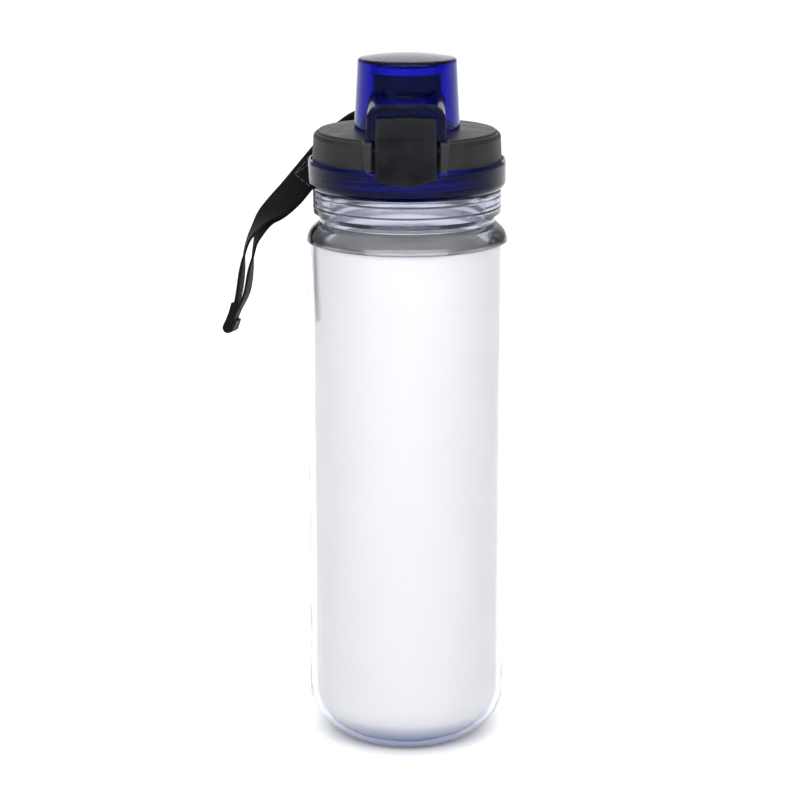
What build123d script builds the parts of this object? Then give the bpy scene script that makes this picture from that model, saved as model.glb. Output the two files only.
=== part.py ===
from build123d import *
import math
import os

# A clear double-wall drinking bottle with a screw lid, a flip cap, a push latch and a wrist strap.
# Millimetres. Z is up, the base stands on z = 0, the latch faces -Y and the strap hangs on the -X side.

# Body: three nested cups that share one outline, each a constant distance inside the one around it
BODY_R = 35.0
CORNER_R = 18.5
SHELL_WALL = 1.8
SLEEVE_INSET = 2.6
SLEEVE_WALL = 0.5
VESSEL_INSET = 4.2
VESSEL_WALL = 1.6
WELD_Z = 181.0
SLEEVE_TOP = 180.4
TONGUE_R = (33.8, 34.4)
TONGUE_H = 0.8

# Shoulder, collar and neck of the inner vessel
GROOVE_R = 30.5
COLLAR_R = 32.6
COLLAR_LINES_Z = (193.2, 196.9)
COLLAR_LINE_CUT = 0.35
COLLAR_TOP = 198.6
NECK_R = 28.8
MOUTH_R = 26.6
RIM_Z = 212.4

# Two-start thread between neck and lid
THREAD_LEAD = 8.0
THREAD_STARTS = 2
THREAD_TURNS = 0.85
THREAD_DEPTH = 1.1
THREAD_ROOT_W = 2.0
THREAD_CREST_W = 1.0
THREAD_BITE = 0.25
NECK_THREAD_Z = 201.6
CAP_BORE_R = 30.1

# Screw cap, spout and seals
RING_R = 34.2
RING_Z = 198.9
RING_TOP = 209.2
LEDGE_Z = 208.9
CAP_WALL_R = 31.3
PLATE_Z = 214.0
PLATE_TOP = 216.0
PLUG_R = (24.2, 25.3)
PLUG_Z = 212.0
SEAT_R = (13.3, 15.4)
SEAT_DEPTH = 1.0
GASKET_LIP = 1.2
SPOUT_FIT = 0.1
SPOUT_R = 12.5
SPOUT_TOP_R = 11.5
SPOUT_BORE_R = 9.2
SPOUT_TOP = 238.7
FLANGE_R = 16.0
FLANGE_Z = 216.05
FLANGE_TOP = 217.4

# Lid cover, with the latch ears at the front and the hinge and strap brackets at the back
COVER_WALL_R = 32.7
COVER_IN_R = 31.4
CEILING_Z = 217.45
COVER_TOP = 219.6
COVER_EDGE_R = 30.5
EAR_X = (11.3, 13.4, 14.5)
EAR_Z = (209.5, 219.4)
EAR_Y = (-36.3, -27.0)

# Latch plate on its cross pin
LATCH_PIN_YZ = (-34.4, 216.4)
LATCH_PIN_R = 0.75
LATCH_PIN_HALF = 13.8
LATCH_HALF = 10.2
LATCH_FRONT_Y = -37.2
LATCH_T = 1.8
LATCH_CREASE_Z = 221.4
LATCH_TOP_Z = 227.7
LATCH_LIP_Z = 208.4
LATCH_BOTTOM_Z = 204.6
LATCH_CORNER_Z = 207.6
LATCH_CORNER_R = 1.4
LATCH_EDGE_R = 0.5
LATCH_BARREL_R = 1.5
LATCH_LEAN = 1.4
NOSE_HALF = 8.0
NOSE_Y = (-34.9, -33.1)
NOSE_Z = (225.0, 226.2)
CATCH_SLOT_Y = (-34.0, -32.6)
POCKET_DEPTH = 1.6
POCKET_Z = (-4.8, 1.8)
LATCH_REST_X = (-4.2, -2.2)
LATCH_REST_BACK_Y = -31.0
LATCH_REST_Z = (210.8, 214.0)
LATCH_SPRING_HALF = 2.9
LATCH_SPRING_WIRE_R = 0.3
LATCH_SPRING_R = 1.25

# Flip cap on its hinge
HINGE_YZ = (28.0, 222.4)
HINGE_PIN_R = 1.25
HINGE_R = 2.7
HINGE_PIN_HALF = 10.4
LUG_X = (7.0, 10.6)
KNUCKLE_X = (4.0, 6.9)
FLIP_REST_X = (-3.9, -1.9)
FLIP_REST_Y = (20.4, 22.6)
FLIP_SPRING_HALF = 2.6
FLIP_SPRING_WIRE_R = 0.4
FLIP_SPRING_R = 1.75
FLIP_Z = 219.75
FLIP_R = 18.25
FLIP_TOP_R = 17.0
FLIP_RIM_Z = 243.6
FLIP_DOME_Z = 245.2
FLIP_WALL = 1.85
FLIP_CEILING_Z = 242.4
FLIP_EDGE_R = 1.3
RIB_FRONT_Y = 12.0
RIB_Z = (221.2, 225.6)
ROOF_Z = (224.7, 226.2)
SOCKET_R = (3.05, 5.0)
PRESS_RING_R = (9.0, 10.6)
SEAL_TOP = 240.9
SEAL_STEM_R = 3.0
HOOD_HALF = 13.2
HOOD_FRONT_Y = -33.4
HOOD_TOP_Z = 231.5
HOOD_CORNER = 5.0
HOOD_SLOPE = 8.0
HOOD_WALL = 2.4
HOOD_EDGE_R = 0.9

# Strap bracket, its pin and the strap
STRAP_PIN_XY = (-13.4, 35.6)
STRAP_PIN_R = 1.0
BRACKET_Z = (209.2, 224.0)
BRACKET_ARM = 1.8
BRACKET_END_R = 2.6
BRACKET_SPINE = (3.3, 5.9)
BRACKET_REACH = (-7.0, 2.0)
BRACKET_STEP = 2.6
STRAP_W = 10.0
STRAP_Z = 216.6
STRAP_LOOP_R = 2.1

RUNNING = 0.05
REST_GAP = 0.02
SPRING_TURNS = 5


def turned(*corners):
    """A solid of revolution about Z from the corners (radius, height) of its outline."""
    return revolve(Plane.XZ * make_face(Polyline(*corners, close=True)), Axis.Z)


def tube(inner, outer, low, high):
    """A plain ring about Z."""
    return turned((inner, low), (outer, low), (outer, high), (inner, high))


def rod(radius, half, y, z):
    """A round bar along X, centred on x = 0."""
    return Pos(0, y, z) * Rot(0, 90, 0) * Cylinder(radius, 2 * half)


def block(x, y, z):
    """A box between two values along each axis."""
    size = [high - low for low, high in (x, y, z)]
    middle = [(high + low) / 2 for low, high in (x, y, z)]
    return Pos(*middle) * Box(*size)


def both_sides(solid):
    """The solid and its mirror image across the YZ plane."""
    return [solid, mirror(solid, Plane.YZ)]


def cup(inset, top):
    """The space inside the body's outline, moved inwards by inset and cut off at top."""
    flat_r = BODY_R - CORNER_R
    corner = CenterArc((flat_r, CORNER_R), CORNER_R - inset, -90, 90)
    foot = Line((0, inset), corner @ 0)
    wall = Polyline(corner @ 1, (BODY_R - inset, top), (0, top), (0, inset))
    return revolve(Plane.XZ * make_face([foot, corner, wall]), Axis.Z)


def tongue(clearance):
    """The raised ring on the shell's top edge that is welded into the vessel's shoulder."""
    low, high = TONGUE_R
    return tube(low - clearance, high + clearance, WELD_Z - 0.5, WELD_Z + TONGUE_H + clearance)


def outer_shell():
    return cup(0, WELD_Z) - cup(SHELL_WALL, WELD_Z + 1) + tongue(0)


def insert_sleeve():
    return cup(SLEEVE_INSET, SLEEVE_TOP) - cup(SLEEVE_INSET + SLEEVE_WALL, SLEEVE_TOP + 1)


def thread(root_r, outward, angle, low):
    """One pair of thread ridges that start at the given angle and height."""
    height = THREAD_LEAD * THREAD_TURNS
    side = 1 if outward else -1
    helix = Helix(THREAD_LEAD, height, root_r)
    section = Plane(origin=helix @ 0, x_dir=(side, 0, 0), z_dir=helix % 0)
    half_root = THREAD_ROOT_W / 2
    half_crest = THREAD_CREST_W / 2
    outline = Polyline(
        (-THREAD_BITE, -half_root),
        (0, -half_root),
        (THREAD_DEPTH, -half_crest),
        (THREAD_DEPTH, half_crest),
        (0, half_root),
        (-THREAD_BITE, half_root),
        close=True,
    )
    ridge = sweep(section * make_face(outline), path=helix, is_frenet=True)
    step = 360 / THREAD_STARTS
    return [Pos(0, 0, low) * Rot(0, 0, angle + step * i) * ridge for i in range(THREAD_STARTS)]


def shoulder():
    """The vessel's outside from just under the weld up to the rim."""
    vessel_r = BODY_R - VESSEL_INSET
    foot = Polyline(
        (0, WELD_Z - 4),
        (vessel_r, WELD_Z - 4),
        (vessel_r, WELD_Z - 1.4),
        (vessel_r + 1.4, WELD_Z),
        (BODY_R, WELD_Z),
    )
    rounding = ThreePointArc(foot @ 1, (34.0, 183.9), (32.1, 186.0))
    collar = [(GROOVE_R, 187.7), (GROOVE_R, 189.0), (COLLAR_R, 190.9)]
    for z in COLLAR_LINES_Z:
        collar.append((COLLAR_R, z - COLLAR_LINE_CUT))
        collar.append((COLLAR_R - COLLAR_LINE_CUT, z))
        collar.append((COLLAR_R, z + COLLAR_LINE_CUT))
    collar += [(COLLAR_R, COLLAR_TOP - 0.3), (COLLAR_R - 0.3, COLLAR_TOP), (NECK_R, COLLAR_TOP)]
    neck = Polyline(rounding @ 1, *collar, (NECK_R, RIM_Z), (0, RIM_Z), (0, WELD_Z - 4))
    return revolve(Plane.XZ * make_face([foot, rounding, neck]), Axis.Z)


def vessel_cavity():
    inner_r = BODY_R - VESSEL_INSET - VESSEL_WALL
    throat = turned(
        (0, WELD_Z - 5),
        (inner_r, WELD_Z - 5),
        (inner_r, WELD_Z - 2),
        (27.4, 187.5),
        (27.4, 199.5),
        (MOUTH_R, 201.5),
        (MOUTH_R, RIM_Z + 1),
        (0, RIM_Z + 1),
    )
    return cup(VESSEL_INSET + VESSEL_WALL, WELD_Z - 4) + throat


def inner_vessel():
    solid = cup(VESSEL_INSET, WELD_Z - 3) + shoulder() - vessel_cavity() - tongue(RUNNING)
    rim = solid.edges().filter_by(GeomType.CIRCLE).filter_by_position(Axis.Z, RIM_Z, RIM_Z)
    solid = fillet(rim, 0.6)
    return solid + thread(NECK_R, True, 0, NECK_THREAD_Z)


def mouth_gasket():
    """The silicone ring between the rim and the screw cap, with a lip that reaches into the mouth."""
    inner_r = PLUG_R[1] + 0.1
    lip_r = MOUTH_R - 0.15
    outer_r = CAP_BORE_R - 0.2
    return turned(
        (inner_r, RIM_Z - GASKET_LIP),
        (lip_r, RIM_Z - GASKET_LIP),
        (lip_r, RIM_Z + RUNNING),
        (outer_r, RIM_Z + RUNNING),
        (outer_r, PLATE_Z - RUNNING),
        (inner_r, PLATE_Z - RUNNING),
    )


def screw_cap():
    """The blue ring, threaded inside, and its top plate with a plug ring and the spout's seat."""
    groove_r = COVER_WALL_R + 0.1
    plug_in, plug_out = PLUG_R
    body = turned(
        (CAP_BORE_R, RING_Z),
        (32.4, RING_Z),
        (33.8, RING_Z + 1.5),
        (RING_R, RING_Z + 2.5),
        (RING_R, RING_TOP - 1.2),
        (RING_R - 0.3, RING_TOP),
        (groove_r + 0.5, RING_TOP),
        (groove_r + 0.5, LEDGE_Z - 1.0),
        (groove_r, LEDGE_Z - 1.0),
        (groove_r, LEDGE_Z),
        (CAP_WALL_R, LEDGE_Z),
        (CAP_WALL_R, PLATE_TOP),
        (SPOUT_R + SPOUT_FIT, PLATE_TOP),
        (SPOUT_R + SPOUT_FIT, PLATE_Z),
        (plug_in, PLATE_Z),
        (plug_in, PLUG_Z),
        (plug_out, PLUG_Z),
        (plug_out, PLATE_Z),
        (CAP_BORE_R, PLATE_Z),
    )
    seat = tube(*SEAT_R, PLATE_TOP - SEAT_DEPTH, PLATE_TOP + 1)
    quarter = 360 / THREAD_STARTS / 4
    low = NECK_THREAD_Z - THREAD_LEAD / THREAD_STARTS / 2 + THREAD_LEAD * quarter / 360
    return body - seat + thread(CAP_BORE_R, False, quarter, low)


def spout_gasket():
    inner, outer = SEAT_R
    return tube(inner + RUNNING, outer - RUNNING, PLATE_TOP - SEAT_DEPTH + RUNNING, FLANGE_Z)


def spout():
    body = turned(
        (SPOUT_BORE_R, PLATE_Z - 0.8),
        (SPOUT_R, PLATE_Z - 0.8),
        (SPOUT_R, FLANGE_Z),
        (FLANGE_R, FLANGE_Z),
        (FLANGE_R, FLANGE_TOP),
        (SPOUT_R, FLANGE_TOP),
        (SPOUT_TOP_R, SPOUT_TOP),
        (SPOUT_BORE_R, SPOUT_TOP),
    )
    lip = body.edges().filter_by(GeomType.CIRCLE).filter_by_position(Axis.Z, SPOUT_TOP, SPOUT_TOP)
    return fillet(lip, 0.7)


def cover_shell():
    """The round grey cover: a wall, a bevelled shoulder, a fine groove and a slightly domed top."""
    edge_top = COVER_TOP - 0.55
    outside = Polyline((COVER_IN_R, LEDGE_Z), (COVER_WALL_R, LEDGE_Z), (COVER_WALL_R - 0.35, 216.6))
    bevel = ThreePointArc(outside @ 1, (32.05, 217.65), (31.4, 218.3))
    step = Polyline(bevel @ 1, (31.05, 218.4), (31.0, 218.0), (30.6, 218.0), (COVER_EDGE_R, edge_top))
    dome = ThreePointArc(step @ 1, (26.0, COVER_TOP - 0.2), (18.5, COVER_TOP))
    inside = Polyline(
        dome @ 1,
        (SPOUT_R + 0.4, COVER_TOP),
        (SPOUT_R + 0.4, CEILING_Z),
        (28.0, CEILING_Z),
        (28.0, PLATE_TOP),
        (29.5, PLATE_TOP),
        (29.5, CEILING_Z),
        (COVER_IN_R, CEILING_Z),
        (COVER_IN_R, LEDGE_Z),
    )
    return revolve(Plane.XZ * make_face([outside, bevel, step, dome, inside]), Axis.Z)


def latch_ears():
    """The two cheeks at the front that hold the latch pin."""
    inner, foot, top = EAR_X
    low, high = EAR_Z
    front, back = EAR_Y
    outline = make_face(Polyline((inner, low), (foot, low), (top, high), (inner, high), close=True))
    ear = extrude(Plane.XZ.offset(-back) * outline, back - front)
    front_edges = ear.faces().sort_by(Axis.Y)[0].edges()
    ear = fillet(front_edges, 0.7)
    return both_sides(ear)


def hinge_lugs():
    """The two lugs at the back that hold the flip cap's hinge pin."""
    y, z = HINGE_YZ
    near, far = LUG_X
    foot = block((near, far), (y - HINGE_R, y + HINGE_R), (CEILING_Z + 0.3, z))
    half = (far - near) / 2
    return both_sides(foot + Pos((near + far) / 2, 0, 0) * rod(HINGE_R, half, y, z))


def strap_bracket():
    """A C-shaped bracket beside the hinge, open towards -X, that holds the strap pin."""
    pin_x, pin_y = STRAP_PIN_XY
    low, high = BRACKET_Z
    near, far = [pin_x + offset for offset in BRACKET_SPINE]
    inner, outer = [pin_y + offset for offset in BRACKET_REACH]
    depth = (outer - 2 * BRACKET_END_R, outer)
    bracket = block((near, far), (inner, outer), (low, high - BRACKET_STEP))
    bracket += block((near, far), depth, (low, high))
    for z in (low, high - BRACKET_ARM):
        arm = block((pin_x, near + 1), depth, (z, z + BRACKET_ARM))
        end = Pos(pin_x, outer - BRACKET_END_R, z + BRACKET_ARM / 2) * Cylinder(BRACKET_END_R, BRACKET_ARM)
        bracket = bracket + arm + end
    return bracket


def spring_rests():
    """The small pads on the cover that the first leg of each spring presses on."""
    latch_y = LATCH_PIN_YZ[0] + LATCH_SPRING_R + LATCH_SPRING_WIRE_R
    flip_z = HINGE_YZ[1] - FLIP_SPRING_R - FLIP_SPRING_WIRE_R
    front = block(LATCH_REST_X, (latch_y + REST_GAP, LATCH_REST_BACK_Y), LATCH_REST_Z)
    back = block(FLIP_REST_X, FLIP_REST_Y, (COVER_TOP - 1.0, flip_z - REST_GAP))
    return [front, back]


def lid_cover():
    inside = turned((0, 200), (COVER_IN_R, 200), (COVER_IN_R, CEILING_Z), (0, CEILING_Z))
    extras = latch_ears() + hinge_lugs() + spring_rests() + [strap_bracket()]
    solid = cover_shell()
    for extra in extras:
        solid += extra - inside
    solid -= rod(LATCH_PIN_R + 0.03, 20, *LATCH_PIN_YZ)
    solid -= rod(HINGE_PIN_R + 0.03, 20, *HINGE_YZ)
    pin_low, pin_high = BRACKET_Z
    pin_hole = Cylinder(STRAP_PIN_R + 0.03, pin_high - pin_low - 0.8)
    return solid - Pos(*STRAP_PIN_XY, (pin_low + pin_high) / 2) * pin_hole


def strap_pin():
    low, high = BRACKET_Z
    return Pos(*STRAP_PIN_XY, (low + high) / 2) * Cylinder(STRAP_PIN_R, high - low - 1.0)


def latch_plate():
    """The plate's side view pulled across its width, then cut to its rounded front outline."""
    back_y = LATCH_FRONT_Y + LATCH_T
    side = Polyline(
        (LATCH_FRONT_Y + 1.1, LATCH_BOTTOM_Z),
        (LATCH_FRONT_Y, LATCH_LIP_Z),
        (LATCH_FRONT_Y, LATCH_CREASE_Z),
        (LATCH_FRONT_Y + LATCH_LEAN, LATCH_TOP_Z),
        (back_y + LATCH_LEAN, LATCH_TOP_Z),
        (back_y, LATCH_CREASE_Z - 0.2),
        (back_y, LATCH_BOTTOM_Z),
        close=True,
    )
    plate = extrude(Plane.YZ.offset(-LATCH_HALF) * make_face(side), 2 * LATCH_HALF)
    bottom = ThreePointArc(
        (-LATCH_HALF, LATCH_CORNER_Z), (0, LATCH_BOTTOM_Z), (LATCH_HALF, LATCH_CORNER_Z)
    )
    rest = Polyline(
        bottom @ 1,
        (LATCH_HALF, LATCH_TOP_Z - 0.5),
        (0, LATCH_TOP_Z),
        (-LATCH_HALF, LATCH_TOP_Z - 0.5),
        bottom @ 0,
    )
    front = extrude(Plane.XZ.offset(30) * make_face([bottom, rest]), 10)
    corners = front.edges().filter_by(Axis.Y)
    outer_corners = [e for e in corners if abs(e.center().X) > LATCH_HALF - 0.1]
    return plate & fillet(outer_corners, LATCH_CORNER_R)


def latch_button():
    """The plate with its two pin barrels, the catch nose and a pocket for the spring."""
    y, z = LATCH_PIN_YZ
    near = LATCH_SPRING_HALF + 0.8
    plate = latch_plate()
    front_edges = [e for f in plate.faces() if f.normal_at().Y < -0.5 for e in f.edges()]
    creases = (LATCH_LIP_Z - 0.01, LATCH_CREASE_Z + 0.01)
    on_crease = [e for e in front_edges if abs(e.center().X) < 1 and creases[0] < e.center().Z < creases[1]]
    plate = fillet([e for e in front_edges if e not in on_crease], LATCH_EDGE_R)
    barrel = Pos((near + LATCH_HALF) / 2, 0, 0) * rod(LATCH_BARREL_R, (LATCH_HALF - near) / 2, y, z)
    nose = block((-NOSE_HALF, NOSE_HALF), NOSE_Y, NOSE_Z)
    pocket_z = [z + offset for offset in POCKET_Z]
    pocket = block((-near, near), (y - POCKET_DEPTH, y), pocket_z)
    solid = plate + both_sides(barrel) + nose - pocket
    return solid - rod(LATCH_PIN_R + RUNNING, 20, y, z)


def flip_cone():
    """The outside of the flip cap without its hood: a cone with a rounded rim and a low dome."""
    side = Line((FLIP_R, FLIP_Z), (FLIP_TOP_R, FLIP_RIM_Z))
    dome = ThreePointArc(side @ 1, (FLIP_TOP_R / 2, FLIP_DOME_Z - 0.4), (0, FLIP_DOME_Z))
    foot = Polyline(dome @ 1, (0, FLIP_Z), side @ 0)
    solid = revolve(Plane.XZ * make_face([side, dome, foot]), Axis.Z)
    circles = solid.edges().filter_by(GeomType.CIRCLE)
    rim = circles.filter_by_position(Axis.Z, FLIP_RIM_Z - 0.1, FLIP_RIM_Z + 0.1)
    return fillet(rim, FLIP_EDGE_R)


def hood(half, corner, front_y, top):
    """An arch pulled backwards and slightly upwards from the front, standing on the cap's foot."""
    outline = Rectangle(2 * half, top - 200, align=(Align.CENTER, Align.MAX))
    outline = fillet(outline.vertices().sort_by(Axis.Y)[-2:], corner)
    slope = math.radians(HOOD_SLOPE)
    face = Pos(0, front_y, top) * Rot(90, 0, 0) * outline
    solid = extrude(face, -front_y - 10, dir=(0, math.cos(slope), math.sin(slope)))
    return solid & block((-20, 20), (-40, 0), (FLIP_Z, 240))


def flip_arms():
    """Two ribs and a roof that join the cone to its hinge knuckles, with the spring between them."""
    y, z = HINGE_YZ
    near, far = KNUCKLE_X
    rib = block((near, far), (RIB_FRONT_Y, y), RIB_Z)
    knuckle = Pos((near + far) / 2, 0, 0) * rod(HINGE_R - 0.1, (far - near) / 2, y, z)
    roof = block((-far, far), (RIB_FRONT_Y, y - 1.5), ROOF_Z)
    return roof + both_sides(rib + knuckle)


def flip_cap():
    cone = flip_cone()
    inner_cone = turned(
        (0, FLIP_Z - 1),
        (FLIP_R - FLIP_WALL, FLIP_Z - 1),
        (FLIP_TOP_R - FLIP_WALL, FLIP_CEILING_Z),
        (0, FLIP_CEILING_Z),
    )
    shell = hood(HOOD_HALF, HOOD_CORNER, HOOD_FRONT_Y, HOOD_TOP_Z)
    front_edges = shell.faces().sort_by(Axis.Y)[0].edges().sort_by(Axis.Z)
    shell = fillet(front_edges[1:], HOOD_EDGE_R)
    inset = HOOD_WALL
    hollow = hood(HOOD_HALF - inset, HOOD_CORNER - inset, HOOD_FRONT_Y + inset, HOOD_TOP_Z - inset)
    slot_half = NOSE_HALF + 0.5
    catch_slot = block((-slot_half, slot_half), CATCH_SLOT_Y, (FLIP_Z - 1, NOSE_Z[1] + 1))
    solid = cone + (shell - hollow) + flip_arms() - inner_cone - catch_slot
    solid -= rod(HINGE_PIN_R + RUNNING, 20, *HINGE_YZ)
    for inner, outer in (SOCKET_R, PRESS_RING_R):
        solid += tube(inner, outer, SEAL_TOP, FLIP_CEILING_Z + 0.5)
    return solid


def cap_seal():
    """The silicone disc that closes the spout, with a tapered plug below and a stem above."""
    return turned(
        (0, SPOUT_TOP - 1.4),
        (SPOUT_BORE_R - 1.5, SPOUT_TOP - 1.4),
        (SPOUT_BORE_R - 0.4, SPOUT_TOP + RUNNING),
        (SPOUT_TOP_R + 0.6, SPOUT_TOP + RUNNING),
        (SPOUT_TOP_R + 0.6, SEAL_TOP),
        (SEAL_STEM_R, SEAL_TOP),
        (SEAL_STEM_R, FLIP_CEILING_Z - 0.1),
        (0, FLIP_CEILING_Z - 0.1),
    )


def torsion_spring(wire_r, mean_r, half, leg, y, z, first_side):
    """A coil round an X axis. Both legs run the same way, and the first leaves from first_side."""
    turns = SPRING_TURNS + 0.5
    helix = Helix(2 * half / turns, 2 * half, mean_r)
    start = helix @ 0
    end = helix @ 1
    first = Line(start - (helix % 0) * leg, start)
    last = Line(end, end + (helix % 1) * leg)
    path = Wire([first, helix, last])
    section = Plane(origin=path @ 0, z_dir=path % 0) * Circle(wire_r)
    spring = sweep(section, path=path)
    return Plane(origin=(-half, y, z), x_dir=first_side, z_dir=(1, 0, 0)) * spring


def latch_spring():
    """Its first leg presses on the cover and its last on the plate, both below the pin."""
    half = LATCH_SPRING_HALF
    return torsion_spring(LATCH_SPRING_WIRE_R, LATCH_SPRING_R, half, 4.0, *LATCH_PIN_YZ, (0, 1, 0))


def flip_spring():
    """Its first leg presses on the cover and its last under the flip cap's roof."""
    half = FLIP_SPRING_HALF
    return torsion_spring(FLIP_SPRING_WIRE_R, FLIP_SPRING_R, half, 7.5, *HINGE_YZ, (0, 0, -1))


def latch_pin():
    return rod(LATCH_PIN_R, LATCH_PIN_HALF, *LATCH_PIN_YZ)


def hinge_pin():
    return rod(HINGE_PIN_R, HINGE_PIN_HALF, *HINGE_YZ)


def strap_sections():
    """Middle, run direction, width direction and thickness of the folded strap, from pin to tip."""
    return [
        ((-15.2, 35.9, 216.7), (-1.0, 0.0, 0.0), (0.0, 0.0, 1.0), 2.4),
        ((-21.0, 34.2, 214.0), (-0.85, -0.33, -0.42), (-0.2, 0.0, 1.0), 2.4),
        ((-27.0, 30.5, 209.4), (-0.72, -0.45, -0.53), (-0.5, 0.0, 0.86), 2.4),
        ((-36.5, 24.5, 198.8), (-0.62, -0.42, -0.66), (-0.7, 0.1, 0.7), 2.4),
        ((-41.5, 20.5, 193.2), (-0.66, -0.44, -0.6), (-0.65, 0.3, 0.7), 2.4),
        ((-46.0, 17.0, 189.0), (-0.72, -0.42, -0.58), (-0.55, 0.62, 0.55), 2.6),
        ((-50.1, 14.5, 185.4), (-0.62, -0.34, -0.7), (-0.35, 0.88, 0.3), 3.0),
        ((-53.0, 12.5, 181.1), (-0.45, -0.24, -0.86), (-0.2, 0.97, 0.1), 3.6),
        ((-54.9, 11.3, 177.4), (-0.34, -0.2, -0.92), (-0.1, 0.99, 0.0), 4.4),
        ((-56.0, 10.3, 173.0), (-0.2, -0.18, -0.96), (-0.05, 1.0, 0.0), 5.0),
        ((-56.8, 9.3, 167.8), (-0.16, -0.16, -0.97), (0.1, 0.99, 0.0), 5.2),
        ((-58.0, 8.0, 160.2), (-0.22, -0.14, -0.96), (0.2, 0.98, 0.0), 4.6),
        ((-60.5, 7.3, 153.1), (-0.35, -0.05, -0.93), (0.3, 0.95, 0.0), 4.0),
        ((-62.5, 7.0, 147.2), (-0.33, -0.05, -0.94), (0.3, 0.95, 0.0), 3.0),
    ]


def wrist_strap():
    """The doubled strap as one band, with its eye round the strap pin."""
    faces = []
    for middle, run, across, thick in strap_sections():
        plane = Plane(origin=middle, x_dir=Vector(*across), z_dir=Vector(*run))
        faces.append(plane * Rectangle(STRAP_W, thick))
    band = loft(faces, ruled=True)
    eye = Pos(*STRAP_PIN_XY, STRAP_Z) * Cylinder(STRAP_LOOP_R, STRAP_W)
    hole = Pos(*STRAP_PIN_XY, STRAP_Z) * Cylinder(STRAP_PIN_R + RUNNING, 3 * STRAP_W)
    return band + eye - hole


PARTS = {
    "outer_shell": outer_shell,
    "insert_sleeve": insert_sleeve,
    "inner_vessel": inner_vessel,
    "mouth_gasket": mouth_gasket,
    "screw_cap": screw_cap,
    "spout_gasket": spout_gasket,
    "spout": spout,
    "lid_cover": lid_cover,
    "strap_pin": strap_pin,
    "wrist_strap": wrist_strap,
    "latch_button": latch_button,
    "flip_cap": flip_cap,
    "cap_seal": cap_seal,
    "latch_pin": latch_pin,
    "latch_spring": latch_spring,
    "hinge_pin": hinge_pin,
    "flip_spring": flip_spring,
}

os.makedirs("parts", exist_ok=True)
for name, make in PARTS.items():
    export_step(Part() + make(), f"parts/{name}.step")
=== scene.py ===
import math

import bpy
from mathutils import Matrix, Vector


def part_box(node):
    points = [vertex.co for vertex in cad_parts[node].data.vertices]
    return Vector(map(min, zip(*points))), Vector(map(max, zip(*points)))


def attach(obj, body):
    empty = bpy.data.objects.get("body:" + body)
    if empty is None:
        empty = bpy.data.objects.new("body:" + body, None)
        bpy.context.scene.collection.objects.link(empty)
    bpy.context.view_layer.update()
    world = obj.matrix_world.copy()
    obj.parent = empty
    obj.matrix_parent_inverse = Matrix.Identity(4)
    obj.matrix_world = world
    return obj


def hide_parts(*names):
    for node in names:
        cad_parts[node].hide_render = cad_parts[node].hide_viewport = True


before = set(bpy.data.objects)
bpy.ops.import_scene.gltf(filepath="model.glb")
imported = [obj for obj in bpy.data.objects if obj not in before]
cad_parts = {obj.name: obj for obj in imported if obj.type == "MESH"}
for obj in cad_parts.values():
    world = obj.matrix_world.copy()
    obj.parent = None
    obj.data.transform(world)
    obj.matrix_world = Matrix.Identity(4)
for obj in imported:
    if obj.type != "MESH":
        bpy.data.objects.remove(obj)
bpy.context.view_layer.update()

MM = 0.001

# Camera: one long lens, a little above the lid and turned slightly to the right of the latch
LENS_MM = 112.5
CAMERA_DISTANCE = 0.8576
CAMERA_HEIGHT = 0.3368
CAMERA_SIDE = -0.00245
CAMERA_PITCH = 14.0
CAMERA_TURN = 0.8

# Light: a white studio, bright in front, straight behind and overhead, and dark towards both sides
STUDIO_BRIGHT = 1.25
STUDIO_DARK = 0.35
STUDIO_SIDE = (0.50, 0.90)
STUDIO_NARROWER_BEHIND = 0.50
STUDIO_OVERHEAD = 0.35
KEY_PLACE = (0.0, -1.6, 0.9)
KEY_AIM = (0.0, 0.0, 0.12)
KEY_SIZE = (3.6, 0.9)
KEY_POWER = 50.0

FLOOR_SIZE = 12.0

# Clear plastic: painted shade, a darker bluish base colour in the foot's corner and from the shoulder up,
# where light crosses more of it and so comes out darker
FOOT_PAINTED_SHADE_Z = (2.0 * MM, 13.0 * MM)
FOOT_PAINTED_SHADE = (0.22, 0.29, 0.56, 1.0)
NECK_PAINTED_SHADE_Z = (181.0 * MM, 191.0 * MM)
NECK_PAINTED_SHADE = (0.77, 0.785, 0.86, 1.0)

# Insert: two mottled whites, and the whiter tone of its ends, which is painted light; all warm enough to
# offset the bluish plastic in front
INSERT_TONES = ((0.975, 0.955, 0.83, 1.0), (0.99, 0.97, 0.86, 1.0))
INSERT_PAINTED_LIGHT = (0.99, 0.975, 0.89, 1.0)

# Blue plastic: the colour it passes, and how strongly the cap and the ring absorb the rest
BLUE_TINT = (0.02, 0.04, 0.76)
CAP_DENSITY = 1000.0
RING_DENSITY = 1600.0

# Moulded plastics: the tone of an open face, and of a rubbed edge, which is lighter partly from wear and
# partly as a painted edge highlight
GREY_TONES = ((0.008, 0.008, 0.009), (0.032, 0.032, 0.035))
LATCH_TONES = ((0.003, 0.003, 0.004), (0.022, 0.023, 0.027))
SPOUT_TONES = ((0.008, 0.008, 0.010), (0.03, 0.03, 0.033))

# Strap: a flat nylon tape, folded into one long loop round its pin
TAPE_WIDTH = 10.0 * MM
TAPE_THICKNESS = 0.9 * MM
TAPE_WARP = 0.9 * MM
TAPE_WEFT = 0.62 * MM
STATIONS = 160
FOLD_STATIONS = 12
PROFILE_STEPS = 10

# Sewing: a box of stitches next to the pin and a folded hem at the tip, placed by share of the strap's run
PIN_SEAM = (0.15, 0.30)
HEM_START = (0.955, 0.90)
HEM_ROWS = (0.962, 0.980)
HEM_STATIONS = (16, 24)
HEM_GAP = 0.95 * MM
STITCH_LENGTH = 1.5 * MM
STITCH_GAP = 0.6 * MM
STITCH_RADIUS = 0.17 * MM
STITCH_STEPS = 6
STITCH_ARCH = 1.1
STITCH_SUNK = 0.3
SEAM_INSET = 1.6 * MM

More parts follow.
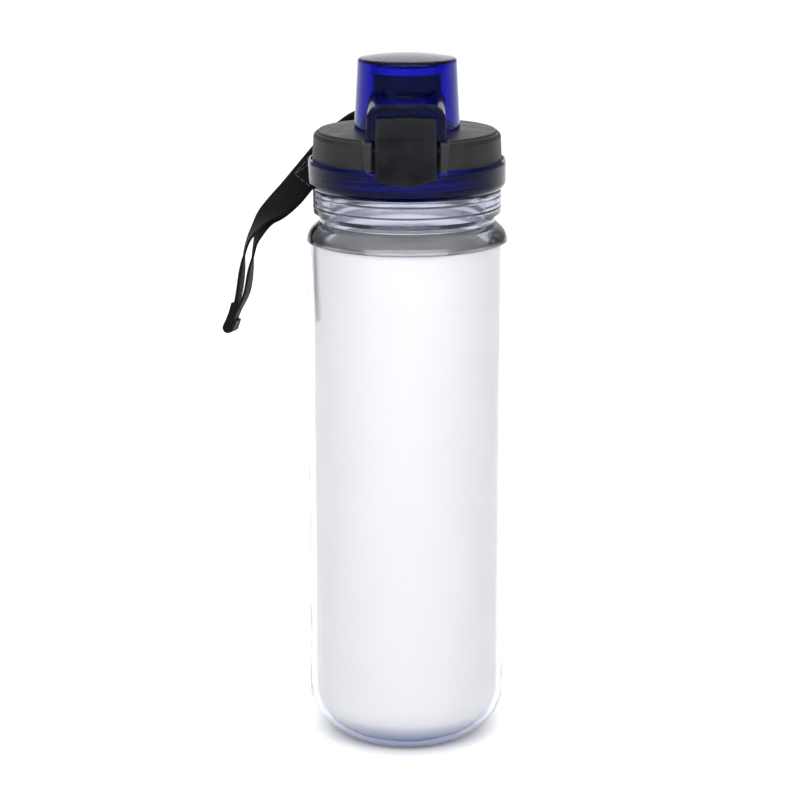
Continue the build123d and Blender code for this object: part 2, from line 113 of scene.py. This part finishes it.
# Middle of the doubled tape, direction across its width, and half the distance between its two layers
TAPE_ROUTE = [
    ((-13.4, 35.6, 216.6), (0.0, 0.0, 1.0), 1.55),
    ((-17.0, 35.5, 216.2), (-0.05, 0.0, 1.0), 0.75),
    ((-21.0, 34.2, 214.0), (-0.2, 0.0, 1.0), 0.6),
    ((-27.0, 30.5, 209.4), (-0.5, 0.0, 0.86), 0.55),
    ((-36.5, 24.5, 198.8), (-0.7, 0.1, 0.7), 0.55),
    ((-41.5, 20.5, 193.2), (-0.65, 0.3, 0.7), 0.55),
    ((-46.0, 17.0, 189.0), (-0.55, 0.62, 0.55), 0.6),
    ((-50.1, 14.5, 185.4), (-0.35, 0.88, 0.3), 0.75),
    ((-53.0, 12.5, 181.1), (-0.2, 0.97, 0.1), 1.05),
    ((-54.9, 11.3, 177.4), (-0.1, 0.99, 0.0), 1.35),
    ((-56.0, 10.3, 173.0), (-0.05, 1.0, 0.0), 1.55),
    ((-56.8, 9.3, 167.8), (0.1, 0.99, 0.0), 1.5),
    ((-58.0, 8.0, 160.2), (0.15, 0.99, 0.0), 1.35),
    ((-60.5, 7.3, 153.1), (0.15, 0.99, 0.0), 0.5),
    ((-62.5, 7.0, 147.8), (0.2, 0.98, 0.0), 0.5),
]


# ---------------------------------------------------------------- node helpers


def new_material(name, **sockets):
    """A material whose Principled shader has the given constant socket values."""
    material = bpy.data.materials.new(name)
    material.use_nodes = True
    shader = material.node_tree.nodes["Principled BSDF"]
    for socket, value in sockets.items():
        shader.inputs[socket.replace("_", " ")].default_value = value
    return material


def add(material, kind, settings=None, **inputs):
    """A new node. An input's value is a constant or the output socket that feeds it."""
    tree = material.node_tree
    node = tree.nodes.new(kind)
    for name, value in (settings or {}).items():
        setattr(node, name, value)
    for name, value in inputs.items():
        key = int(name[1:]) if name[1:].isdigit() else name.replace("_", " ")
        if isinstance(value, bpy.types.NodeSocket):
            tree.links.new(value, node.inputs[key])
        else:
            node.inputs[key].default_value = value
    return node


def feed(material, socket, output):
    """Links an output to a socket of the Principled shader."""
    shader = material.node_tree.nodes["Principled BSDF"]
    material.node_tree.links.new(output, shader.inputs[socket])


def place(material, stretch=(1, 1, 1)):
    """The position on the part in metres, stretched along each axis."""
    coordinate = add(material, "ShaderNodeTexCoord")
    mapping = add(material, "ShaderNodeMapping", Vector=coordinate.outputs["Object"], Scale=stretch)
    return mapping.outputs["Vector"]


def noise(material, vector, scale, detail=2.0, roughness=0.5):
    """Noise from 0 to 1 with about scale features to the metre."""
    node = add(
        material, "ShaderNodeTexNoise", Vector=vector, Scale=scale, Detail=detail, Roughness=roughness
    )
    return node.outputs["Fac"]


def spread(material, value, low, high, start=0.3, end=0.7):
    """Value's range from start to end spread over low to high. Noise lies mostly between 0.3 and 0.7."""
    inputs = {"Value": value, "From_Min": start, "From_Max": end, "To_Min": low, "To_Max": high}
    return add(material, "ShaderNodeMapRange", **inputs).outputs["Result"]


def blend_colours(material, share, first, second):
    """The first colour where share is 0 and the second where it is 1."""
    node = add(material, "ShaderNodeMix", {"data_type": "RGBA"}, i0=share, i6=first, i7=second)
    return node.outputs[2]


def bump(material, height, distance, strength=1.0, **normal):
    """A normal disturbed by a height that runs over distance, in metres. Normal is what it starts from."""
    node = add(material, "ShaderNodeBump", Strength=strength, Distance=distance, Height=height, **normal)
    return node.outputs["Normal"]


def math_node(material, operation, first, second=0.0):
    """One arithmetic operation on two values."""
    return add(material, "ShaderNodeMath", {"operation": operation}, i0=first, i1=second).outputs[0]


def ridges(material, value):
    """A row of round ridges, one to each whole number of value."""
    turned = math_node(material, "MULTIPLY", value, math.pi)
    return math_node(material, "ABSOLUTE", math_node(material, "SINE", turned))


def rounded(material, radius):
    """The surface normal with its sharp edges rounded to radius, in metres."""
    return add(material, "ShaderNodeBevel", {"samples": 6}, Radius=radius).outputs["Normal"]


def edge_wear_and_highlight(material, radius):
    """1 along sharp edges and 0 on open faces, from how far a rounded normal leans."""
    flat = add(material, "ShaderNodeNewGeometry").outputs["Normal"]
    operation = {"operation": "DOT_PRODUCT"}
    lean = add(material, "ShaderNodeVectorMath", operation, i0=rounded(material, radius), i1=flat)
    return spread(material, lean.outputs["Value"], 1.0, 0.0, 0.80, 0.99)


# ------------------------------------------------------------------- materials


def absorb(material, colour, density):
    """Tints the light by how far it travels inside the material."""
    volume = add(material, "ShaderNodeVolumeAbsorption", Color=(*colour, 1.0), Density=density)
    output = material.node_tree.nodes["Material Output"]
    material.node_tree.links.new(volume.outputs["Volume"], output.inputs["Volume"])


def clear_plastic(name, tint, density, haze):
    """Clear moulded plastic with faint flow lines, handling marks, a little haze, and painted shade
    darkening its foot and neck.
    """
    material = new_material(name, Base_Color=(1.0, 1.0, 1.0, 1.0), Transmission_Weight=1.0, IOR=1.5)
    marks = noise(material, place(material, (1, 1, 0.3)), 60, 3.0)
    feed(material, "Roughness", spread(material, marks, haze, haze + 0.05, 0.45, 0.8))
    flow = noise(material, place(material), 70, 1.0)
    feed(material, "Normal", bump(material, flow, 0.4 * MM, 0.25))
    height = add(material, "ShaderNodeSeparateXYZ", Vector=place(material)).outputs["Z"]
    # Painted shade: the base colour turns darker and bluish towards the foot's corner and from the shoulder
    # up
    neck_shade = spread(material, height, 0.0, 1.0, *NECK_PAINTED_SHADE_Z)
    foot_shade = spread(material, height, 1.0, 0.0, *FOOT_PAINTED_SHADE_Z)
    colour = blend_colours(material, neck_shade, (1, 1, 1, 1), NECK_PAINTED_SHADE)
    feed(material, "Base Color", blend_colours(material, foot_shade, colour, FOOT_PAINTED_SHADE))
    absorb(material, tint, density)
    return material


def white_insert():
    """Satin white translucent sheet with a faint mottle, and painted light making it a little whiter towards
    its two ends.
    """
    material = new_material(
        "white_insert",
        Specular_IOR_Level=0.4,
        Subsurface_Weight=1.0,
        Subsurface_Radius=(1.0, 1.0, 1.0),
        Subsurface_Scale=1.5 * MM,
    )
    low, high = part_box("insert_sleeve")
    middle = (low[2] + high[2]) / 2
    parts = add(material, "ShaderNodeSeparateXYZ", Vector=place(material))
    height = math_node(material, "ABSOLUTE", math_node(material, "SUBTRACT", parts.outputs["Z"], middle))
    # Painted light: the base colour turns whiter towards both ends of the insert
    painted_end_light = spread(material, height, 0.0, 1.0, 0.7 * middle, high[2] - middle)
    mottle = noise(material, place(material), 220, 4.0)
    colour = blend_colours(material, mottle, *INSERT_TONES)
    feed(material, "Base Color", blend_colours(material, painted_end_light, colour, INSERT_PAINTED_LIGHT))
    feed(material, "Roughness", spread(material, mottle, 0.42, 0.55))
    grain = noise(material, place(material), 2500)
    feed(material, "Normal", bump(material, grain, 0.02 * MM, 0.3))
    return material


def blue_plastic(name, density):
    """Deep blue see-through plastic, polished, with faint flow marks."""
    material = new_material(
        name,
        Base_Color=(0.45, 0.45, 0.95, 1.0),
        Transmission_Weight=1.0,
        IOR=1.30,
        Specular_Tint=(0.35, 0.4, 1.0, 1.0),
    )
    flow = noise(material, place(material, (1, 1, 2)), 90)
    feed(material, "Roughness", spread(material, flow, 0.04, 0.10))
    feed(material, "Normal", bump(material, flow, 0.2 * MM, 0.15))
    absorb(material, BLUE_TINT, density)
    return material


def moulded(name, tones, roughness, grain, gloss):
    """Opaque moulded plastic with a spark-eroded grain, handling marks and rubbed edges, lighter partly from
    wear and partly as a painted edge highlight.
    """
    material = new_material(name, Specular_IOR_Level=gloss)
    position = place(material)
    cloud = noise(material, position, 140, 3.0)
    # Sharp edges are lighter, partly as wear and partly as a painted edge highlight
    worn_and_lit = edge_wear_and_highlight(material, 1.2 * MM)
    share = math_node(material, "ADD", spread(material, cloud, 0.0, 0.25), worn_and_lit)
    dark, light = tones
    feed(material, "Base Color", blend_colours(material, share, (*dark, 1), (*light, 1)))
    rough = spread(material, cloud, roughness - 0.05, roughness + 0.07)
    polish = math_node(material, "MULTIPLY", worn_and_lit, 0.1)
    feed(material, "Roughness", math_node(material, "SUBTRACT", rough, polish))
    height = noise(material, position, 2600, 3.0, 0.6)
    feed(material, "Normal", bump(material, height, grain, Normal=rounded(material, 0.4 * MM)))
    return material


def silicone():
    """Milky rubber."""
    material = new_material(
        "silicone",
        Base_Color=(0.80, 0.82, 0.84, 1.0),
        Subsurface_Weight=0.4,
        Subsurface_Scale=3.0 * MM,
        Sheen_Weight=0.1,
    )
    dust = noise(material, place(material), 400, 4.0)
    feed(material, "Roughness", spread(material, dust, 0.45, 0.62))
    feed(material, "Normal", bump(material, dust, 0.05 * MM, 0.4))
    return material


def steel():
    """Drawn steel wire and pins, brushed along X."""
    material = new_material("steel", Base_Color=(0.62, 0.62, 0.64, 1.0), Metallic=1.0, Anisotropic=0.3)
    drawn = noise(material, place(material, (0.1, 1, 1)), 6000)
    feed(material, "Roughness", spread(material, drawn, 0.2, 0.38))
    feed(material, "Normal", bump(material, drawn, 0.02 * MM, 0.4))
    return material


def webbing():
    """Black nylon tape in a plain weave, its yarns laid out along the tape's own UV map."""
    material = new_material("webbing", Sheen_Weight=0.03, Sheen_Roughness=0.4, Specular_IOR_Level=0.08)
    uv = add(material, "ShaderNodeUVMap", {"uv_map": "tape"})
    parts = add(material, "ShaderNodeSeparateXYZ", Vector=uv.outputs["UV"])
    across = math_node(material, "DIVIDE", parts.outputs["X"], TAPE_WARP)
    along = math_node(material, "DIVIDE", parts.outputs["Y"], TAPE_WEFT)
    row = math_node(material, "FLOOR", across)
    shifted = math_node(material, "ADD", along, math_node(material, "MULTIPLY", row, 0.5))
    height = math_node(material, "MULTIPLY", ridges(material, shifted), ridges(material, across))
    fuzz = noise(material, place(material), 3500, 3.0)
    # Painted shade: the weave's hollows are darker than its raised yarns; the fuzz noise varies the tone at
    # random
    hollow_shade_tone = math_node(material, "MULTIPLY", height, spread(material, fuzz, 0.55, 1.0))
    colour = blend_colours(material, hollow_shade_tone, (0.0006, 0.0006, 0.0008, 1), (0.0045, 0.005, 0.007, 1))
    feed(material, "Base Color", colour)
    feed(material, "Roughness", spread(material, fuzz, 0.5, 0.75))
    feed(material, "Normal", bump(material, height, 0.12 * MM, 0.9))
    return material


def thread_material():
    """Twisted polyester sewing thread."""
    material = new_material("thread", Sheen_Weight=0.3)
    twist = noise(material, place(material), 5000)
    colour = blend_colours(material, twist, (0.012, 0.012, 0.016, 1), (0.04, 0.042, 0.05, 1))
    feed(material, "Base Color", colour)
    feed(material, "Roughness", spread(material, twist, 0.5, 0.7))
    feed(material, "Normal", bump(material, twist, 0.05 * MM, 0.6))
    return material


def floor_material():
    """A plain pale studio floor."""
    material = new_material("studio_floor", Specular_IOR_Level=0.1)
    cloud = noise(material, place(material), 3)
    pale = blend_colours(material, cloud, (0.91, 0.91, 0.91, 1), (0.93, 0.93, 0.93, 1))
    feed(material, "Base Color", pale)
    feed(material, "Roughness", spread(material, cloud, 0.85, 0.95))
    return material


# ----------------------------------------------------------------------- strap


def cubic(a, b, c, d, t):
    """Catmull-Rom interpolation between b and c."""
    square = (2 * a - 5 * b + 4 * c - d) * t * t
    return 0.5 * (2 * b + (c - a) * t + square + (3 * b - 3 * c + d - a) * t ** 3)


def route_at(t):
    """Middle, width direction and half gap of the doubled tape, for t from 0 at the pin to 1 at the tip."""
    rows = [(Vector(m) * MM, Vector(w).normalized(), g * MM) for m, w, g in TAPE_ROUTE]
    last = len(rows) - 1
    i = min(int(t * last), last - 1)
    near = [rows[min(max(j, 0), last)] for j in (i - 1, i, i + 1, i + 2)]
    return [cubic(*[row[k] for row in near], t * last - i) for k in range(3)]


def tape_station(t):
    """Middle, run, normal, width direction and half gap at a share t of the run."""
    middle, across, gap = route_at(t)
    run = (route_at(min(t + 0.01, 1))[0] - route_at(max(t - 0.01, 0))[0]).normalized()
    normal = run.cross(across).normalized()
    return middle, run, normal, normal.cross(run).normalized(), gap


def end_turn(station, side, lift=0.0):
    """The half turn at one end of the loop, which bulges out along the run (side 1) or back (side -1)."""
    middle, run, normal, across, gap = station
    frames = []
    for i in range(1, FOLD_STATIONS):
        angle = math.pi * i / FOLD_STATIONS
        out = normal * math.cos(angle) * side + run * math.sin(angle) * side
        frames.append((middle + out * (gap + lift), out, across))
    return frames


def leg(start, end, count, side, lift=0.0):
    """(centre, normal, width direction) along one layer of the tape between two shares of the run."""
    frames = []
    for i in range(count + 1):
        middle, _, normal, across, gap = tape_station(start + (end - start) * i / count)
        frames.append((middle + normal * side * (gap + lift), normal * side, across))
    return frames


def tape_frames():
    """All round the loop: down one layer, round the tip, up the other and round the pin."""
    down = leg(0, 1, STATIONS, 1)
    up = leg(1, 0, STATIONS, -1)
    return down + end_turn(tape_station(1), 1) + up + end_turn(tape_station(0), -1)


def hem_frames():
    """The folded hem outside the tip, its two legs of unequal length."""
    down = leg(HEM_START[0], 1, HEM_STATIONS[0], 1, HEM_GAP)
    up = leg(1, HEM_START[1], HEM_STATIONS[1], -1, HEM_GAP)
    return down + end_turn(tape_station(1), 1, HEM_GAP) + up


def tape_profile():
    """Points once round the tape's cross-section, across it and out of it, with rounded selvedges."""
    edge = TAPE_THICKNESS / 2
    flat = TAPE_WIDTH / 2 - edge
    top = [(-flat + 2 * flat * i / PROFILE_STEPS, edge) for i in range(PROFILE_STEPS + 1)]
    angles = (math.pi / 4, math.pi / 2, 3 * math.pi / 4)
    right = [(flat + edge * math.sin(angle), edge * math.cos(angle)) for angle in angles]
    half = top + right
    return half + [(-x, -y) for x, y in half]


def ribbon(name, frames, profile, closed):
    """A ribbon through the frames, with a UV map in metres across and along it. Also its length."""
    count, around = len(frames), len(profile)
    vertices = [centre + across * x + out * y for centre, out, across in frames for x, y in profile]
    spans = count if closed else count - 1
    faces = []
    for i in range(spans):
        here, ahead = i * around, (i + 1) % count * around
        for j in range(around):
            k = (j + 1) % around
            faces.append((here + j, ahead + j, ahead + k, here + k))
    if not closed:
        faces.append(tuple(range(around)))
        faces.append(tuple(reversed(range((count - 1) * around, count * around))))
    mesh = bpy.data.meshes.new(name)
    mesh.from_pydata(vertices, [], faces)
    distance = [0.0]
    for i in range(spans):
        distance.append(distance[-1] + (frames[(i + 1) % count][0] - frames[i][0]).length)
    layer = mesh.uv_layers.new(name="tape")
    for face in list(mesh.polygons)[: spans * around]:
        i, j = divmod(face.index, around)
        corners = [(i, j), (i + 1, j), (i + 1, j + 1), (i, j + 1)]
        for loop, (a, b) in zip(face.loop_indices, corners):
            x, y = profile[b % around]
            layer.data[loop].uv = (x + TAPE_WIDTH, distance[a])
    mesh.shade_smooth()
    return bpy.data.objects.new(name, mesh), distance[-1]


def stitch(start, end, normal):
    """Points along one stitch from start to end, arched over the tape with both ends sunk into it."""
    points = []
    for i in range(STITCH_STEPS + 1):
        t = i / STITCH_STEPS
        lift = STITCH_RADIUS * (STITCH_ARCH * math.sin(math.pi * t) - STITCH_SUNK)
        points.append(start.lerp(end, t) + normal * lift)
    return points


def tube_mesh(vertices, faces, points, radius, sides=6):
    """Adds a round tube through the points to a mesh being built."""
    base = len(vertices)
    for i, point in enumerate(points):
        run = (points[min(i + 1, len(points) - 1)] - points[max(i - 1, 0)]).normalized()
        first = run.orthogonal().normalized()
        second = run.cross(first)
        for k in range(sides):
            angle = 2 * math.pi * k / sides
            vertices.append(point + (first * math.cos(angle) + second * math.sin(angle)) * radius)
    for i in range(len(points) - 1):
        for k in range(sides):
            a = base + i * sides + k
            b = base + i * sides + (k + 1) % sides
            faces.append((a, b, b + sides, a + sides))
    last = base + (len(points) - 1) * sides
    faces.append(tuple(base + k for k in reversed(range(sides))))
    faces.append(tuple(last + k for k in range(sides)))


def seam_point(t, offset, side, lift):
    """A point on the outside face of one layer, offset across the tape, with the face's normal."""
    middle, _, normal, across, gap = tape_station(t)
    out = normal * side
    return middle + out * (gap + lift + TAPE_THICKNESS / 2) + across * offset, out


def box_seam(t0, t1):
    """A box with a cross in it, as lines between two points given as (share of run, offset across)."""
    edge = TAPE_WIDTH / 2 - SEAM_INSET
    corners = [(t0, -edge), (t1, -edge), (t1, edge), (t0, edge)]
    sides = [(corners[i], corners[(i + 1) % 4]) for i in range(4)]
    return sides + [(corners[0], corners[2]), (corners[1], corners[3])]


def line_stitches(line, side, lift):
    """The stitches of one straight seam on one outside face, each as its points."""
    (t0, x0), (t1, x1) = line
    pitch = STITCH_LENGTH + STITCH_GAP
    length = (seam_point(t1, x1, side, lift)[0] - seam_point(t0, x0, side, lift)[0]).length
    count = max(2, round(length / pitch))
    stitches = []
    for i in range(count):
        first, last = i / count, (i + STITCH_LENGTH / pitch) / count
        start, normal = seam_point(t0 + (t1 - t0) * first, x0 + (x1 - x0) * first, side, lift)
        end, _ = seam_point(t0 + (t1 - t0) * last, x0 + (x1 - x0) * last, side, lift)
        stitches.append(stitch(start, end, normal))
    return stitches


def sew(name, seams, material):
    """Stitches on both outside faces, as one piece. Each seam is its lines and their lift off the tape."""
    vertices, faces = [], []
    for lines, lift in seams:
        for line in lines:
            for side in (1, -1):
                for points in line_stitches(line, side, lift):
                    tube_mesh(vertices, faces, points, STITCH_RADIUS)
    mesh = bpy.data.meshes.new(name)
    mesh.from_pydata(vertices, [], faces)
    mesh.shade_smooth()
    piece = bpy.data.objects.new(name, mesh)
    return finish_strap_piece(piece, material)


def finish_strap_piece(piece, material):
    """Puts a piece of the strap in the scene, with its material, on the strap's body."""
    bpy.context.scene.collection.objects.link(piece)
    piece.data.materials.append(material)
    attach(piece, "strap")
    return piece


def make_strap(material, thread):
    """The tape, its folded hem and its stitches, in place of the plain CAD strap."""
    strap, length = ribbon("strap_tape", tape_frames(), tape_profile(), True)
    finish_strap_piece(strap, material)
    hem, _ = ribbon("strap_hem", hem_frames(), tape_profile(), False)
    finish_strap_piece(hem, material)
    edge = TAPE_WIDTH / 2 - SEAM_INSET
    hem_rows = [((t, -edge), (t, edge)) for t in HEM_ROWS]
    seams = sew("strap_stitches", [(box_seam(*PIN_SEAM), 0.0), (hem_rows, HEM_GAP)], thread)
    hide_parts("wrist_strap")


# ----------------------------------------------------------- camera and lights


def make_camera():
    """The camera, turned about the part's axis and tipped down at it."""
    camera = bpy.data.objects.new("camera", bpy.data.cameras.new("camera"))
    bpy.context.scene.collection.objects.link(camera)
    camera.data.lens = LENS_MM
    camera.data.clip_start = 0.01
    turn = Matrix.Rotation(math.radians(CAMERA_TURN), 4, "Z")
    camera.location = turn @ Vector((CAMERA_SIDE, -CAMERA_DISTANCE, CAMERA_HEIGHT))
    camera.rotation_euler = (math.radians(90 - CAMERA_PITCH), 0, math.radians(CAMERA_TURN))
    bpy.context.scene.camera = camera


def soft_box(name, place_at, aim, size, power):
    """A rectangular area light at a place, turned to an aim."""
    data = bpy.data.lights.new(name, "AREA")
    data.shape = "RECTANGLE"
    data.size, data.size_y = size
    data.energy = power
    light = bpy.data.objects.new(name, data)
    bpy.context.scene.collection.objects.link(light)
    light.location = place_at
    light.rotation_euler = (Vector(aim) - Vector(place_at)).to_track_quat("-Z", "Y").to_euler()


def make_world():
    """The studio round the part, its brightness set by direction alone."""
    world = bpy.data.worlds.new("studio")
    bpy.context.scene.world = world
    world.use_nodes = True
    direction = add(world, "ShaderNodeTexCoord").outputs["Generated"]
    parts = add(world, "ShaderNodeSeparateXYZ", Vector=direction)
    behind = math_node(world, "MULTIPLY", parts.outputs["Y"], STUDIO_NARROWER_BEHIND)
    sideways = math_node(world, "ADD", math_node(world, "ABSOLUTE", parts.outputs["X"]), behind)
    around = spread(world, sideways, STUDIO_BRIGHT, STUDIO_DARK, *STUDIO_SIDE)
    overhead = spread(world, parts.outputs["Z"], 0.0, STUDIO_OVERHEAD, 0.0, 1.0)
    strength = math_node(world, "ADD", around, overhead)
    background = world.node_tree.nodes["Background"]
    background.inputs["Color"].default_value = (1, 1, 1, 1)
    world.node_tree.links.new(strength, background.inputs["Strength"])


def make_floor():
    """The floor that the part stands on, which belongs to the stage."""
    half = FLOOR_SIZE / 2
    corners = [(-half, -half, 0), (half, -half, 0), (half, half, 0), (-half, half, 0)]
    mesh = bpy.data.meshes.new("floor")
    mesh.from_pydata(corners, [], [(0, 1, 2, 3)])
    floor = bpy.data.objects.new("floor", mesh)
    bpy.context.scene.collection.objects.link(floor)
    mesh.materials.append(floor_material())


def dress(material, *nodes):
    """Gives CAD nodes a material."""
    for name in nodes:
        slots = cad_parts[name].data.materials
        slots.clear()
        slots.append(material)


make_camera()
make_strap(webbing(), thread_material())
dress(clear_plastic("clear_plastic", tint=(0.05, 0.12, 0.45), density=40.0, haze=0.0), "outer_shell")
dress(clear_plastic("clear_vessel", tint=(0.05, 0.10, 0.32), density=40.0, haze=0.09), "inner_vessel")
dress(white_insert(), "insert_sleeve")
dress(blue_plastic("blue_plastic", density=CAP_DENSITY), "flip_cap")
dress(blue_plastic("blue_ring", density=RING_DENSITY), "screw_cap")
dress(moulded("grey_plastic", GREY_TONES, 0.42, 0.04 * MM, 0.15), "lid_cover")
dress(moulded("latch_plastic", LATCH_TONES, 0.42, 0.03 * MM, 0.04), "latch_button", "latch_pin")
dress(moulded("spout_plastic", SPOUT_TONES, 0.35, 0.02 * MM, 0.2), "spout")
dress(silicone(), "mouth_gasket", "spout_gasket", "cap_seal")
dress(steel(), "strap_pin", "latch_spring", "hinge_pin", "flip_spring")
make_floor()
make_world()
soft_box("key_box", KEY_PLACE, KEY_AIM, KEY_SIZE, KEY_POWER)
bpy.context.scene.view_settings.view_transform = "Standard"
